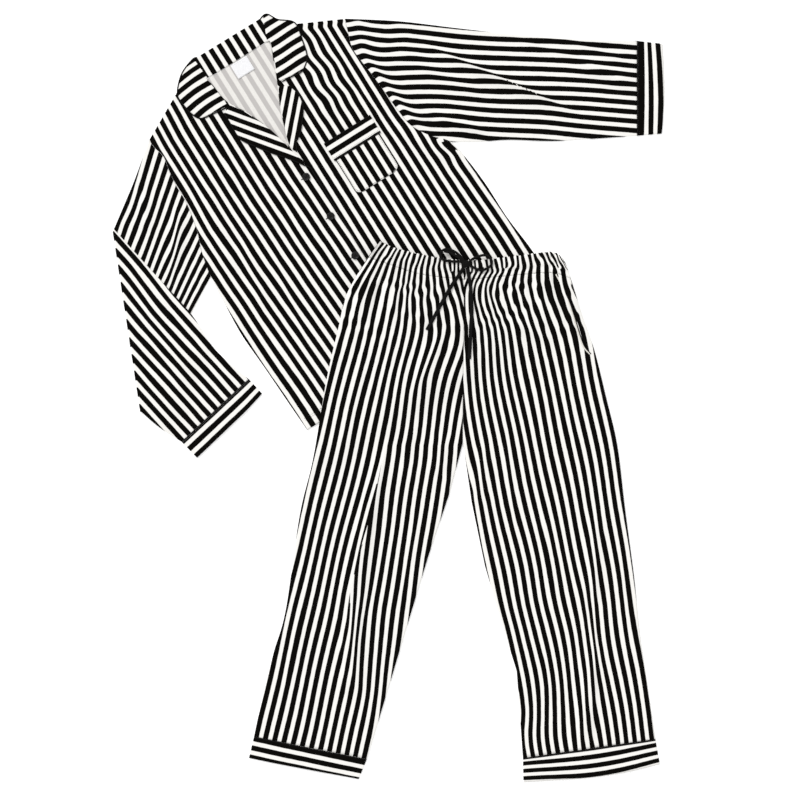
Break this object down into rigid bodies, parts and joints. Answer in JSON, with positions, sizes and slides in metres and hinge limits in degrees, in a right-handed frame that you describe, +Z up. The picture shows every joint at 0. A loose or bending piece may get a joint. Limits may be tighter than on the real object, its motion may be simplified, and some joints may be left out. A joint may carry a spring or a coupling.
{
  "type": "pyjama set",
  "caption": "Striped button-front pyjama shirt with a notched collar, one sleeve folded over, under striped drawstring trousers, both laid out flat.",
  "frame": {"origin": "middle of the set's outline, on the surface that it lies on", "axes": "+X to the wearer's left of the trousers, +Y from their hems to their waist, +Z up from the surface; the shirt is turned 32 degrees from +Y towards -X"},
  "size_m": [1.0755, 1.4956, 0.0144],
  "materials": {
    "striped_knit": "brushed jersey in even black and off-white stripes along the cloth",
    "cross_striped_knit": "the same jersey with its stripes crosswise",
    "black_trim": "black piping and flat drawstring",
    "button": "black, softly glossy",
    "label": "white satin, blank"
  },
  "bodies": {
    "root": {"shirt_back": "striped_knit", "shirt_front_right": "striped_knit", "shirt_front_left": "striped_knit", "lapel_right": "striped_knit", "lapel_left": "striped_knit", "collar": "striped_knit", "chest_pocket": "striped_knit", "sleeve_right": "striped_knit", "sleeve_left": "striped_knit", "trouser_front_right": "striped_knit", "trouser_front_left": "striped_knit", "trouser_back_right": "striped_knit", "trouser_back_left": "striped_knit", "waistband": "striped_knit", "pocket_band": "cross_striped_knit", "cuff_right": "cross_striped_knit", "cuff_left": "cross_striped_knit", "hem_band_right": "cross_striped_knit", "hem_band_left": "cross_striped_knit", "front_piping": "black_trim", "collar_piping": "black_trim", "cuff_piping_right": "black_trim", "cuff_piping_left": "black_trim", "drawstring_bow": "black_trim", "drawstring_tail_short": "black_trim", "drawstring_tail_long": "black_trim", "button_1": "button", "button_2": "button", "button_3": "button", "neck_label": "label"}
  },
  "joints": []
}
